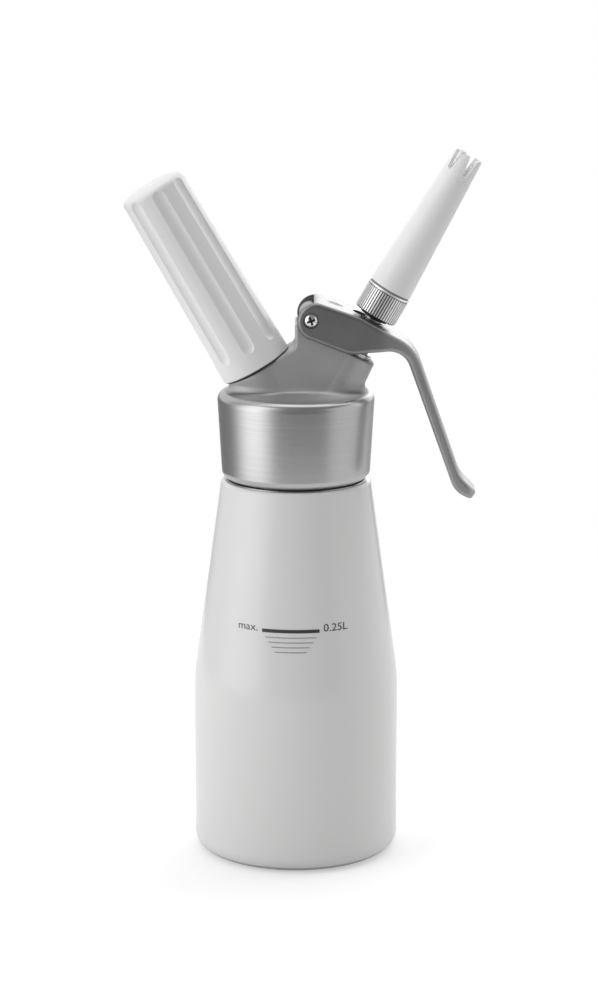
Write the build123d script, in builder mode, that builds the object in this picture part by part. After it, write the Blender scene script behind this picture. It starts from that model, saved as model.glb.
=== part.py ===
from build123d import *
import os
from math import atan2, cos, radians, sin, sqrt, tan

# Cream whipper: a lacquered bottle with a screwed-on cast head. The head carries
# a charger in its holder on one side and, on the other, a sprung valve stem with
# a star nozzle, worked by a squeeze lever.
# Millimetres. The origin is the centre of the bottle's standing ring, +Z is up,
# and the lever and the nozzle lean towards +X.

# ---------------------------------------------------------------- bottle
bottle_radius = 35.0
bottle_wall = 2.0
standing_ring_inset = 8.0
base_dome_rise = 8.0
base_edge_radius = 5.5
cone_start_height = 61.6
cone_blend_radius = 80.0
shoulder_height = 130.4
shoulder_step = 1.8
shoulder_edge_radius = 1.5
neck_ring_step = 2.5
neck_ring_height = 0.3
neck_radius = 21.2
neck_height = 21.0
neck_wall = 2.7

neck_thread_pitch = 4.0
neck_thread_depth = 1.3
neck_thread_turns = 2.0
neck_thread_clearance = 0.5
thread_sink = 0.3
thread_root_share = 0.6
thread_crest_share = 0.24

# ---------------------------------------------------------------- head
collar_gap = 0.3
collar_wall = 2.1
collar_flare = 1.7
collar_rise = 7.2
collar_edge_radius = 2.8
collar_shoulder_radius = 3.0
dome_rise = 1.6
roof_thickness = 4.6
gasket_thickness = 2.0
gasket_width = 4.4
pocket_inset = 1.0
slab_inset = 0.1
slab_draft = 5.3
slab_draft_heading = 45.0
slab_shoulder_room = 6.15
slab_corner_radius = 2.5
slab_edge_radius = 1.0
slab_foot_margin = 1.5
slab_roof_margin = 1.0
slab_fillet_radius = 2.0
boss_fillet_radius = 2.4
foot_zone_below = 1.5
foot_zone_above = 4.0
boss_foot_reach = 4.0

# ---------------------------------------------------------------- leaning axes
axis_tilt = 30.0
valve_root_depth = 20.1
holder_root_depth = 14.3

# ---------------------------------------------------------------- valve
stem_radius = 3.0
stem_wall = 1.2
stem_clearance = 0.06
stem_foot_length = 4.0
stem_foot_inset = 0.8
stem_foot_taper = 1.4
stem_floor = 1.0
stem_thread_length = 6.8
cross_hole_radius = 1.2
cream_gap = 1.4
valve_seat_reach = 18.5
valve_seat_width = 1.4
valve_seat_rim = 1.0
valve_seat_pad = 6.0
valve_seat_clearance = 0.3
valve_disc_thickness = 2.0
valve_seal_thickness = 2.2
guide_nut_wall = 2.6
guide_nut_flange = 0.6
guide_nut_flange_height = 1.5
guide_nut_depth = 6.9
guide_nut_chamfer = 0.3
o_ring_thickness = 1.6
o_ring_gap = 0.2
valve_boss_wall = 2.6
valve_boss_draft = 5.0
valve_face_reach = 38.9
spring_wire_radius = 0.4
spring_gap = 1.0
spring_turns = 3.5
spring_end_gap = 0.1
pusher_rim = 0.6
pusher_rim_height = 0.5
pusher_dome_radius = 8.0
pusher_dome_lift = 0.1

# ---------------------------------------------------------------- lever
pivot_x = 5.04
pivot_rise = 25.64
pivot_pin_radius = 1.6
pivot_clearance = 0.05
pivot_head_radius = 2.25
pivot_head_edge = 0.5
pivot_head_thickness = 1.4
pivot_recess_clearance = 0.45
pivot_recess_depth = 1.0
pivot_thread_radius = 1.0
pivot_joint = 3.0
pivot_end_gap = 0.2
cross_recess_width = 0.75
cross_recess_length = 2.9
cross_recess_depth = 0.9
cross_recess_turn = 20.0
lug_wall = 2.4
lug_wall_x = -0.34
lug_wall_above_pivot = -1.7
cheek_gap = 0.85
cheek_thickness = 1.9
web_thickness = 2.0
web_rise = 9.2
lever_end_radius = 6.35
lever_end_offset = (1.71, -0.54)
web_back_slope = 19.2
cheek_foot_slope = 22.6
handle_slope = 19.4
handle_reach = 29.9
handle_thickness = 4.0
handle_half_width = 7.0
handle_waist = 0.6
handle_tip_outer = (56.3, -59.8)
handle_tip_inner = (54.2, -62.3)
handle_tip_bend_outer = (50.7, -54.2)
handle_tip_bend_inner = (48.7, -59.3)
cheek_lowest = (13.0, -11.8)
cheek_front = (20.4, -11.0)
underside_drop = 10.4
web_bend_rounding = 20.0
shoulder_rounding = 16.0
tip_bend_outer_rounding = 10.0
tip_bend_inner_rounding = 8.0
tip_end_rounding = 1.2
underside_rounding = 8.0
cheek_front_rounding = 6.0
cheek_foot_rounding = 10.0
plan_widest_offset = 7.0
plan_waist_offset = 2.0
plan_widest_rounding = 14.0
plan_waist_rounding = 10.0
plan_tip_rounding = 4.0
lever_edge_radius = 1.4
hollow_back = 1.0
hollow_end = 26.5
slot_clearance = 0.4
slot_back_room = 3.8
slot_front_room = 0.5
dimple_radius = 3.3
dimple_depth = 0.4
dimple_distance = 6.2

# ---------------------------------------------------------------- nozzle
washer_rim = 1.8
washer_thickness = 1.6
washer_gap = 0.3
washer_dome_radius = 16.0
adapter_radius = 7.55
adapter_knurl_height = 8.8
adapter_lip_height = 1.0
adapter_rib_count = 50
adapter_rib_depth = 0.42
adapter_edge = 0.5
spigot_radius = 5.0
spigot_height = 8.0
spigot_thread_depth = 0.6
spigot_bore_radius = 2.2
nozzle_thread_pitch = 2.0
nozzle_thread_turns = 2.0
nozzle_thread_clearance = 0.4
nozzle_gasket_thickness = 0.6
nozzle_gasket_inset = 0.5
nozzle_length = 51.9
nozzle_step = 0.2
nozzle_tip_radius = 5.0
nozzle_wall = 1.3
nozzle_socket_room = 1.0
nozzle_socket_chamfer = 0.5
nozzle_tooth_count = 5
nozzle_tooth_rounding = 1.2
nozzle_slot_turn = 4.0
nozzle_slot_depth = 7.0
nozzle_slot_foot_width = 1.5
nozzle_slot_mouth_width = 3.5
nozzle_slot_foot_rounding = 0.6

# ---------------------------------------------------------------- charger and its holder
charger_radius = 8.95
charger_length = 65.5
charger_neck_radius = 4.4
charger_neck_length = 9.0
charger_shoulder_length = 9.0
charger_shoulder_rounding = 8.0
charger_neck_rounding = 2.5
charger_lip_rounding = 0.6
charger_crown_share = 0.75
charger_pierced_radius = 1.5
charger_pierced_depth = 4.5
charger_clearance = 0.45
charger_end_gap = 0.3
charger_face_reach = 26.4
charger_seal_thickness = 1.5
charger_seal_sink = 0.2
port_shank_radius = 6.5
port_shank_depth = 9.6
port_recess_clearance = 0.8
port_wall = 4.0
port_height = 8.4
port_floor = 1.0
port_thread_depth = 0.7
port_thread_pitch = 2.0
port_thread_turns = 3.0
holder_thread_clearance = 0.4
holder_foot_wall = 2.1
holder_top_wall = 2.15
holder_end_wall = 3.7
holder_crown_width = 4.4
holder_crown_drop = 1.5
holder_crown_rounding = 4.0
holder_top_edge_radius = 2.0
holder_bottom_edge_radius = 0.4
holder_thread_room = 2.5
holder_thread_chamfer = 1.0
holder_seal_thickness = 0.4
holder_seal_inset = 0.5
charger_boss_inset = 1.4
flute_count = 8
flute_radius = 4.0
flute_depth = 0.9
flute_foot_margin = 8.6
flute_top_margin = 4.4
flute_turn = 8.0
pin_radius = 1.1
pin_stand = 3.3
pin_body_radius = 2.4
pin_body_length = 5.5
pin_bore_radius = 0.5
pin_tail_radius = 1.5
pin_tail_length = 3.0
sleeve_wall = 0.9
sleeve_gap = 0.4
sleeve_foot_gap = 0.3
gas_passage_radius = 1.2

# ---------------------------------------------------------------- worked out
neck_ring_radius = neck_radius + neck_ring_step
shoulder_radius = neck_ring_radius + shoulder_step
mouth_radius = neck_radius - neck_wall
standing_ring_radius = bottle_radius - standing_ring_inset
rim_height = shoulder_height + neck_height
gasket_top = rim_height + gasket_thickness

socket_radius = neck_radius + neck_thread_depth + neck_thread_clearance
collar_bottom_radius = socket_radius + collar_wall
collar_top_radius = collar_bottom_radius + collar_flare
collar_bottom = shoulder_height + neck_ring_height + collar_gap
collar_top = gasket_top + collar_rise
dome_top = collar_top + dome_rise
roof_height = dome_top - roof_thickness

stem_hole_radius = stem_radius + stem_clearance
stem_bore_radius = stem_radius - stem_wall
cream_passage_radius = stem_radius + cream_gap
valve_disc_radius = cream_passage_radius + valve_seat_width
valve_seat_radius = valve_disc_radius + valve_seat_rim
guide_nut_radius = stem_radius + guide_nut_wall
guide_nut_flange_radius = guide_nut_radius + guide_nut_flange
valve_boss_radius = guide_nut_radius + valve_boss_wall
spring_mean_radius = stem_radius + spring_gap + spring_wire_radius
pusher_radius = spring_mean_radius + spring_wire_radius + pusher_rim
washer_radius = stem_radius + washer_rim

slab_half_thickness = valve_boss_radius - slab_inset
slab_shoulder = valve_boss_radius + slab_shoulder_room
cheek_inner = slab_half_thickness + cheek_gap
cheek_outer = cheek_inner + cheek_thickness
slab_reach = 2 * collar_top_radius
slab_slope = tan(radians(slab_draft))
pivot_recess_radius = pivot_head_radius + pivot_recess_clearance
lug_radius = pivot_pin_radius + lug_wall
pivot = (pivot_x, collar_top + pivot_rise)

nozzle_base_radius = adapter_radius - nozzle_step
nozzle_gasket_radius = adapter_radius - nozzle_gasket_inset

port_recess_radius = charger_neck_radius + port_recess_clearance
port_radius = port_recess_radius + port_wall
holder_thread_radius = port_radius + port_thread_depth + holder_thread_clearance
holder_bottom_radius = holder_thread_radius + holder_foot_wall
holder_bore_radius = charger_radius + charger_clearance
holder_top_radius = holder_bore_radius + holder_top_wall
holder_seal_radius = holder_bottom_radius - holder_seal_inset
charger_boss_radius = holder_bottom_radius - charger_boss_inset


def leaning_section(root_height, tilt):
    """Section plane of a leaning axis: x square to the axis, y along it."""
    lean = radians(tilt)
    return Plane(origin=(0, 0, root_height), x_dir=(cos(lean), 0, -sin(lean)), z_dir=(0, -1, 0))


valve_section = leaning_section(collar_top - valve_root_depth, axis_tilt)
valve_axis = Axis(valve_section.origin, valve_section.y_dir)
valve_plane = Plane(origin=valve_section.origin, x_dir=valve_section.x_dir, z_dir=valve_section.y_dir)
holder_section = leaning_section(collar_top - holder_root_depth, -axis_tilt)
holder_axis = Axis(holder_section.origin, holder_section.y_dir)
holder_plane = Plane(origin=holder_section.origin, x_dir=holder_section.x_dir, z_dir=holder_section.y_dir)


def in_section(section, x, z):
    """Place of a point of the XZ plane as (distance from the axis, reach along it)."""
    local = section.to_local_coords(Vector(x, 0, z))
    return local.X, local.Y


def from_section(section, across, reach):
    """Place of a section's point as (x, z) of the XZ plane."""
    point = section.from_local_coords(Vector(across, reach, 0))
    return point.X, point.Z


def meet(normal_a, distance_a, normal_b, distance_b):
    """Crossing of two lines, each given by its unit normal and its distance."""
    spread = normal_a[0] * normal_b[1] - normal_a[1] * normal_b[0]
    x = (distance_a * normal_b[1] - distance_b * normal_a[1]) / spread
    z = (normal_a[0] * distance_b - normal_b[0] * distance_a) / spread
    return x, z


def along_line(normal, distance, x):
    """Point at x of a line given by its unit normal and its distance."""
    return x, (distance - x * normal[0]) / normal[1]


def from_pivot(point):
    """A point given from the lever's pivot, as (x, z) of the XZ plane."""
    return pivot[0] + point[0], pivot[1] + point[1]


# plane across the slab through the pivot, with x along the slope of its faces
slab_heading = radians(slab_draft_heading)
slab_plane = Plane(
    origin=(pivot[0], 0, pivot[1]),
    x_dir=(cos(slab_heading), 0, sin(slab_heading)),
    z_dir=(-sin(slab_heading), 0, cos(slab_heading)),
)

# reaches along the valve's axis that the lever sets
web_top_reach = in_section(valve_section, *pivot)[1] + web_rise
web_foot_reach = web_top_reach - web_thickness
washer_foot = web_top_reach + washer_gap
washer_top = washer_foot + washer_thickness
stem_top_reach = washer_top + stem_thread_length


def around(plane, angle):
    """The plane turned about its own normal."""
    return Plane(plane.location * Rotation(0, 0, angle))


def turn(section, axis, points, mode=Mode.ADD):
    """Turn a closed outline of the section plane about the axis."""
    with BuildSketch(section) as outline:
        with BuildLine():
            Polyline(*points, close=True)
        make_face()
    revolve(outline.sketch, axis=axis, mode=mode)


def turn_ring(section, axis, inner, outer, low, high, mode=Mode.ADD):
    """Turn a plain ring or disc between two radii and two reaches."""
    turn(section, axis, [(inner, low), (outer, low), (outer, high), (inner, high)], mode)


def wind_thread(plane, start, root, depth, pitch, turns):
    """Wind a tapered ridge round a shank; its foot is sunk so that the two join."""
    foot = plane.origin + plane.z_dir * start
    half_root = thread_root_share * pitch / 2
    half_crest = thread_crest_share * pitch / 2
    with BuildLine(Plane.XY) as path:
        Helix(pitch, pitch * turns, root, center=foot, direction=plane.z_dir)
    begin = path.line @ 0
    outward = (begin - foot).normalized()
    with BuildSketch(Plane(origin=begin, x_dir=outward, z_dir=path.line % 0)) as ridge:
        with BuildLine():
            Polyline(
                (-thread_sink, -half_root),
                (depth, -half_crest),
                (depth, half_crest),
                (-thread_sink, half_root),
                close=True,
            )
        make_face()
    sweep(ridge.sketch, path=path.line, is_frenet=True)


# ================================================================ bottle
inner_mouth_floor = shoulder_height - bottle_wall
cone_angle = atan2(bottle_radius - shoulder_radius, shoulder_height - cone_start_height)
inner_cone_top = (
    bottle_radius
    - (inner_mouth_floor - cone_start_height) * tan(cone_angle)
    - bottle_wall / cos(cone_angle)
)
inner_radius = bottle_radius - bottle_wall
neck_thread_start = shoulder_height + neck_ring_height + neck_thread_pitch

with BuildPart() as bottle:
    with BuildSketch(Plane.XZ) as shell:
        with BuildLine():
            dome = TangentArc((0, base_dome_rise), (standing_ring_radius, 0), tangent=(1, 0))
            Polyline(
                dome @ 1,
                (bottle_radius, 0),
                (bottle_radius, cone_start_height),
                (shoulder_radius, shoulder_height),
                (neck_ring_radius, shoulder_height),
                (neck_ring_radius, shoulder_height + neck_ring_height),
                (neck_radius, shoulder_height + neck_ring_height),
                (neck_radius, rim_height),
                (mouth_radius, rim_height),
                (mouth_radius, inner_mouth_floor),
                (inner_cone_top, inner_mouth_floor),
                (inner_radius, cone_start_height),
                (inner_radius, 2 * bottle_wall),
                (standing_ring_radius, bottle_wall),
            )
            inside = TangentArc(
                (0, base_dome_rise + bottle_wall), (standing_ring_radius, bottle_wall), tangent=(1, 0)
            )
            Line(dome @ 0, inside @ 0)
        make_face()
        for corner, rounding in (
            ((bottle_radius, 0), base_edge_radius),
            ((bottle_radius, cone_start_height), cone_blend_radius),
            ((inner_radius, cone_start_height), cone_blend_radius - bottle_wall),
            ((inner_radius, 2 * bottle_wall), base_edge_radius - bottle_wall),
            ((shoulder_radius, shoulder_height), shoulder_edge_radius),
        ):
            fillet(shell.vertices().sort_by_distance(corner)[0], rounding)
    revolve(axis=Axis.Z)
    wind_thread(
        Plane.XY, neck_thread_start, neck_radius, neck_thread_depth, neck_thread_pitch, neck_thread_turns
    )
bottle.part.label = "bottle"

# ================================================================ head gasket
with BuildPart() as head_gasket:
    gasket_outer = neck_radius + neck_thread_depth
    turn_ring(Plane.XZ, Axis.Z, gasket_outer - gasket_width, gasket_outer, rim_height, gasket_top)
head_gasket.part.label = "head_gasket"

# ================================================================ head casting
port_bottom = charger_face_reach - port_shank_depth
nut_bottom = valve_face_reach - guide_nut_depth
o_ring_bottom = nut_bottom - o_ring_thickness - o_ring_gap
valve_draft = tan(radians(valve_boss_draft))
pocket_radius = mouth_radius - pocket_inset

with BuildPart() as slab:
    lug_foot_z = holder_section.origin.Z + (charger_face_reach + lug_wall_x / 2) / cos(radians(axis_tilt))
    with BuildSketch(Plane.XZ) as slab_side:
        with BuildLine():
            Polyline(
                from_section(holder_section, 0, charger_face_reach),
                (lug_wall_x, lug_foot_z),
                from_pivot((lug_wall_x - pivot_x, lug_wall_above_pivot)),
                from_pivot((0, lug_wall_above_pivot)),
                from_pivot((lug_radius, 0)),
                from_section(valve_section, -slab_shoulder, valve_face_reach),
                from_section(valve_section, 0, valve_face_reach),
                from_section(valve_section, 0, valve_seat_reach + slab_foot_margin),
                (0, roof_height + slab_roof_margin),
                from_section(holder_section, 0, port_bottom),
                close=True,
            )
        make_face()
        fillet(slab_side.vertices().sort_by_distance((lug_wall_x, lug_foot_z))[0], slab_corner_radius)
        with Locations(pivot):
            Circle(lug_radius)
    extrude(amount=2 * charger_boss_radius, both=True)
    with BuildSketch(slab_plane):
        with BuildLine():
            Polyline(
                (-slab_reach, slab_half_thickness + slab_reach * slab_slope),
                (slab_reach, slab_half_thickness - slab_reach * slab_slope),
                (slab_reach, slab_reach * slab_slope - slab_half_thickness),
                (-slab_reach, -slab_half_thickness - slab_reach * slab_slope),
                close=True,
            )
        make_face()
    extrude(amount=slab_reach, both=True, mode=Mode.INTERSECT)


def slab_thickness_at(point):
    """Half thickness of the drafted slab at a point of the XZ plane."""
    return slab_half_thickness - slab_plane.to_local_coords(point).X * slab_slope


def on_slab_face(edge):
    """Whether an edge lies on one of the slab's two faces."""
    points = (edge @ 0, edge @ 0.5, edge @ 1)
    return all(abs(abs(point.Y) - slab_thickness_at(point)) < 0.01 for point in points)


def foot_edges(part):
    """Edges of the last step that lie along the dome, where something stands on it."""
    low = collar_top - foot_zone_below
    high = dome_top + foot_zone_above
    return part.edges(Select.LAST).filter_by(
        lambda edge: low < edge.bounding_box().min.Z and edge.bounding_box().max.Z < high
    )


with BuildPart() as head_casting:
    with BuildSketch(Plane.YZ) as bell:
        with BuildLine():
            Polyline(
                (0, collar_bottom),
                (collar_bottom_radius, collar_bottom),
                (collar_top_radius, collar_top),
                (0, dome_top),
                close=True,
            )
        make_face()
        for corner, rounding in (
            ((collar_bottom_radius, collar_bottom), collar_edge_radius),
            ((collar_top_radius, collar_top), collar_shoulder_radius),
        ):
            fillet(bell.vertices().sort_by_distance(corner)[0], rounding)
    revolve(axis=Axis.Z)

    # the leaning bosses for the charger port and the valve, blended into the dome
    turn_ring(holder_section, holder_axis, 0, charger_boss_radius, boss_foot_reach, charger_face_reach)
    fillet(foot_edges(head_casting), boss_fillet_radius)
    turn(
        valve_section,
        valve_axis,
        [
            (0, boss_foot_reach),
            (valve_boss_radius + (valve_face_reach - boss_foot_reach) * valve_draft, boss_foot_reach),
            (valve_boss_radius, valve_face_reach),
            (0, valve_face_reach),
        ],
    )
    fillet(foot_edges(head_casting), boss_fillet_radius)

    # the drafted slab between them
    add(slab.part)
    fillet(foot_edges(head_casting).filter_by(on_slab_face), slab_fillet_radius)
    slab_rims = head_casting.edges().filter_by(
        lambda edge: on_slab_face(edge)
        and edge.bounding_box().min.Z > dome_top + foot_zone_above
        and edge.geom_type != GeomType.BSPLINE
    )
    fillet(slab_rims, slab_edge_radius)

    # socket for the bottle's neck, the gasket's seat and the pocket in the roof
    turn_ring(Plane.XZ, Axis.Z, 0, socket_radius, collar_bottom, gasket_top, Mode.SUBTRACT)
    with BuildSketch(Plane.XY.offset(gasket_top)):
        Circle(pocket_radius)
    extrude(amount=roof_height - gasket_top, mode=Mode.SUBTRACT)

    # seat pad of the valve under the roof, with free space below it
    turn_ring(
        valve_section,
        valve_axis,
        0,
        valve_seat_radius,
        valve_seat_reach,
        valve_seat_reach + valve_seat_pad,
    )
    turn_ring(
        valve_section,
        valve_axis,
        0,
        valve_seat_radius + valve_seat_clearance,
        0,
        valve_seat_reach,
        Mode.SUBTRACT,
    )

    # stepped hole of the valve: cream passage, seal pocket and guide nut
    for radius, low, high in (
        (cream_passage_radius, valve_seat_reach, o_ring_bottom),
        (stem_hole_radius + o_ring_thickness, o_ring_bottom, nut_bottom),
        (guide_nut_radius, nut_bottom, valve_face_reach),
    ):
        turn_ring(valve_section, valve_axis, 0, radius, low, high, Mode.SUBTRACT)

    # hole of the charger port and the gas passage below it
    turn_ring(
        holder_section, holder_axis, 0, port_shank_radius, port_bottom, charger_face_reach, Mode.SUBTRACT
    )
    turn_ring(holder_section, holder_axis, 0, gas_passage_radius, 0, port_bottom, Mode.SUBTRACT)

    # hole of the lever's pivot
    with BuildSketch(Plane.XZ):
        with Locations(pivot):
            Circle(pivot_pin_radius)
    extrude(amount=charger_boss_radius, both=True, mode=Mode.SUBTRACT)
head_casting.part.label = "head_casting"

# ================================================================ charger port
seal_bottom = charger_face_reach + charger_seal_sink
seal_top = seal_bottom + charger_seal_thickness
port_top = charger_face_reach + port_height
pin_body_bottom = charger_face_reach - pin_body_length
chamber_floor = port_bottom + port_floor

with BuildPart() as charger_port:
    turn_ring(holder_section, holder_axis, 0, port_shank_radius, port_bottom, charger_face_reach)
    turn_ring(holder_section, holder_axis, 0, port_radius, charger_face_reach, port_top)
    wind_thread(
        holder_plane,
        charger_face_reach + port_thread_pitch / 2,
        port_radius,
        port_thread_depth,
        port_thread_pitch,
        port_thread_turns,
    )
    turn_ring(holder_section, holder_axis, 0, port_recess_radius, seal_bottom, port_top, Mode.SUBTRACT)
    turn_ring(holder_section, holder_axis, 0, pin_body_radius, pin_body_bottom, seal_bottom, Mode.SUBTRACT)
    turn_ring(
        holder_section,
        holder_axis,
        0,
        pin_tail_radius + sleeve_wall + sleeve_gap,
        chamber_floor,
        pin_body_bottom,
        Mode.SUBTRACT,
    )
    turn_ring(holder_section, holder_axis, 0, gas_passage_radius, port_bottom, chamber_floor, Mode.SUBTRACT)
charger_port.part.label = "charger_port"

# ================================================================ piercing pin
pin_top = seal_top + pin_stand
pin_tail_bottom = pin_body_bottom - pin_tail_length

with BuildPart() as piercing_pin:
    turn(
        holder_section,
        holder_axis,
        [
            (pin_bore_radius, pin_tail_bottom),
            (pin_tail_radius, pin_tail_bottom),
            (pin_tail_radius, pin_body_bottom),
            (pin_body_radius, pin_body_bottom),
            (pin_body_radius, seal_bottom),
            (pin_radius, seal_bottom),
            (pin_radius, pin_top - 2 * pin_radius),
            (pin_bore_radius, pin_top),
        ],
    )
piercing_pin.part.label = "piercing_pin"

# ================================================================ check sleeve
with BuildPart() as check_sleeve:
    turn_ring(
        holder_section,
        holder_axis,
        pin_tail_radius,
        pin_tail_radius + sleeve_wall,
        pin_tail_bottom + sleeve_foot_gap,
        pin_body_bottom,
    )
check_sleeve.part.label = "check_sleeve"

# ================================================================ charger seal
with BuildPart() as charger_seal:
    turn_ring(
        holder_section, holder_axis, charger_pierced_radius, port_recess_radius, seal_bottom, seal_top
    )
charger_seal.part.label = "charger_seal"

# ================================================================ holder seal
holder_bottom = charger_face_reach + holder_seal_thickness

with BuildPart() as holder_seal:
    turn_ring(
        holder_section,
        holder_axis,
        holder_thread_radius,
        holder_seal_radius,
        charger_face_reach,
        holder_bottom,
    )
holder_seal.part.label = "holder_seal"

# ================================================================ gas charger
charger_bottom = seal_top
charger_top = charger_bottom + charger_length
charger_crown = charger_crown_share * charger_radius
charger_shoulder_top = charger_bottom + charger_neck_length + charger_shoulder_length

with BuildPart() as gas_charger:
    with BuildSketch(holder_section) as capsule:
        with BuildLine():
            Polyline(
                (0, charger_top),
                (charger_radius, charger_top),
                (charger_radius, charger_shoulder_top),
                (charger_neck_radius, charger_bottom + charger_neck_length),
                (charger_neck_radius, charger_bottom),
                (charger_pierced_radius, charger_bottom),
                (charger_pierced_radius, charger_bottom + charger_pierced_depth),
                (0, charger_bottom + charger_pierced_depth),
                close=True,
            )
        make_face()
        for corner, rounding in (
            ((charger_radius, charger_top), charger_crown),
            ((charger_radius, charger_shoulder_top), charger_shoulder_rounding),
            ((charger_neck_radius, charger_bottom + charger_neck_length), charger_neck_rounding),
            ((charger_neck_radius, charger_bottom), charger_lip_rounding),
        ):
            fillet(capsule.vertices().sort_by_distance(corner)[0], rounding)
    revolve(axis=holder_axis)
gas_charger.part.label = "gas_charger"

# ================================================================ charger holder
bore_top = charger_top + charger_end_gap
holder_top = bore_top + holder_end_wall
thread_top = port_top + holder_thread_room
holder_taper = (holder_bottom_radius - holder_top_radius) / (holder_top - holder_bottom)
flute_low = holder_bottom + flute_foot_margin
flute_high = holder_top - flute_top_margin


def holder_radius(reach):
    """Outer radius of the holder at a reach along its axis."""
    return holder_bottom_radius - (reach - holder_bottom) * holder_taper


with BuildPart() as charger_holder:
    with BuildSketch(holder_section) as wall:
        with BuildLine():
            Polyline(
                (0, holder_top),
                (holder_top_radius - holder_crown_width, holder_top),
                (holder_top_radius, holder_top - holder_crown_drop),
                (holder_bottom_radius, holder_bottom),
                (holder_thread_radius, holder_bottom),
                (holder_thread_radius, thread_top),
                (holder_bore_radius, thread_top + holder_thread_chamfer),
                (holder_bore_radius, bore_top),
                (0, bore_top),
                close=True,
            )
        make_face()
        for corner, rounding in (
            ((holder_top_radius - holder_crown_width, holder_top), holder_crown_rounding),
            ((holder_top_radius, holder_top - holder_crown_drop), holder_top_edge_radius),
            ((holder_bottom_radius, holder_bottom), holder_bottom_edge_radius),
            ((holder_bore_radius, bore_top), charger_crown),
        ):
            fillet(wall.vertices().sort_by_distance(corner)[0], rounding)
    revolve(axis=holder_axis)

    # round-ended flutes that follow the taper
    for number in range(flute_count):
        side = around(holder_plane, flute_turn + 360.0 / flute_count * number)
        flute_section = Plane(origin=side.origin, x_dir=side.x_dir, z_dir=side.x_dir.cross(side.z_dir))
        low_point, high_point = (
            flute_section.from_local_coords(
                Vector(holder_radius(reach) + flute_radius - flute_depth, reach, 0)
            )
            for reach in (flute_low, flute_high)
        )
        rise = high_point - low_point
        with BuildSketch(Plane(origin=low_point, z_dir=rise.normalized())) as groove:
            Circle(flute_radius)
        extrude(groove.sketch, amount=rise.length, mode=Mode.SUBTRACT)
        with Locations(low_point, high_point):
            Sphere(flute_radius, mode=Mode.SUBTRACT)
charger_holder.part.label = "charger_holder"

# ================================================================ stem guide nut
with BuildPart() as stem_guide_nut:
    nut_top = valve_face_reach + guide_nut_flange_height
    turn(
        valve_section,
        valve_axis,
        [
            (stem_hole_radius, nut_bottom),
            (guide_nut_radius, nut_bottom),
            (guide_nut_radius, valve_face_reach),
            (guide_nut_flange_radius, valve_face_reach),
            (guide_nut_flange_radius, nut_top - guide_nut_chamfer),
            (guide_nut_flange_radius - guide_nut_chamfer, nut_top),
            (stem_hole_radius, nut_top),
        ],
    )
stem_guide_nut.part.label = "stem_guide_nut"

# ================================================================ stem O-ring
with BuildPart() as stem_o_ring:
    ring_wire_radius = o_ring_thickness / 2
    with BuildSketch(valve_section):
        with Locations((stem_hole_radius + ring_wire_radius, nut_bottom - ring_wire_radius)):
            Circle(ring_wire_radius)
    revolve(axis=valve_axis)
stem_o_ring.part.label = "stem_o_ring"

# ================================================================ valve stem
seal_foot = valve_seat_reach - valve_seal_thickness
disc_foot = seal_foot - valve_disc_thickness
stem_foot = disc_foot - stem_foot_length
stem_bore_bottom = valve_seat_reach + stem_floor

with BuildPart() as valve_stem:
    turn(
        valve_section,
        valve_axis,
        [
            (0, stem_foot),
            (stem_radius - stem_foot_inset, stem_foot),
            (stem_radius, stem_foot + stem_foot_taper),
            (stem_radius, disc_foot),
            (valve_disc_radius, disc_foot),
            (valve_disc_radius, seal_foot),
            (stem_radius, seal_foot),
            (stem_radius, stem_top_reach),
            (stem_bore_radius, stem_top_reach),
            (stem_bore_radius, stem_bore_bottom),
            (0, stem_bore_bottom),
        ],
    )
    cross_hole_reach = stem_bore_bottom + 2 * cross_hole_radius
    with BuildSketch(valve_section):
        with Locations((0, cross_hole_reach)):
            Circle(cross_hole_radius)
    extrude(amount=2 * stem_radius, both=True, mode=Mode.SUBTRACT)
valve_stem.part.label = "valve_stem"

# ================================================================ valve seal
with BuildPart() as valve_seal:
    turn_ring(valve_section, valve_axis, stem_radius, valve_disc_radius, seal_foot, valve_seat_reach)
valve_seal.part.label = "valve_seal"

# ================================================================ lever outline
web_back_normal = (sin(radians(web_back_slope)), cos(radians(web_back_slope)))
web_front_normal = (sin(radians(axis_tilt)), cos(radians(axis_tilt)))
handle_normal = (cos(radians(handle_slope)), sin(radians(handle_slope)))
foot_normal = (-sin(radians(cheek_foot_slope)), -cos(radians(cheek_foot_slope)))
web_back_distance = (
    lever_end_radius
    + lever_end_offset[0] * web_back_normal[0]
    + lever_end_offset[1] * web_back_normal[1]
)
web_bend = meet(web_back_normal, web_back_distance, web_front_normal, web_rise)
shoulder_bend = meet(web_front_normal, web_rise, handle_normal, handle_reach)
inner_bend = meet(handle_normal, handle_reach - handle_thickness, (0, -1), underside_drop)
web_bend_inside = meet(
    web_back_normal,
    web_back_distance - web_thickness,
    web_front_normal,
    web_rise - web_thickness,
)

# ================================================================ return spring
spring_foot = valve_face_reach + guide_nut_flange_height
dome_centre_reach = web_foot_reach - pusher_dome_radius + pusher_dome_lift


def pusher_height(radius):
    """Reach of the pusher's domed face at a distance from the valve's axis."""
    return dome_centre_reach + sqrt(pusher_dome_radius**2 - radius**2)


pusher_edge = pusher_height(pusher_radius)
pusher_foot = pusher_edge - pusher_rim_height
spring_length = pusher_foot - spring_foot

with BuildPart() as return_spring:
    coil_rise = spring_length - 2 * spring_wire_radius - spring_end_gap
    coil_foot = valve_plane.origin + valve_plane.z_dir * (spring_foot + spring_wire_radius)
    with BuildLine(Plane.XY) as coil:
        Helix(
            coil_rise / spring_turns,
            coil_rise,
            spring_mean_radius,
            center=coil_foot,
            direction=valve_plane.z_dir,
        )
    with BuildSketch(Plane(origin=coil.line @ 0, z_dir=coil.line % 0)) as wire:
        Circle(spring_wire_radius)
    sweep(wire.sketch, path=coil.line, is_frenet=True)
return_spring.part.label = "return_spring"

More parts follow.
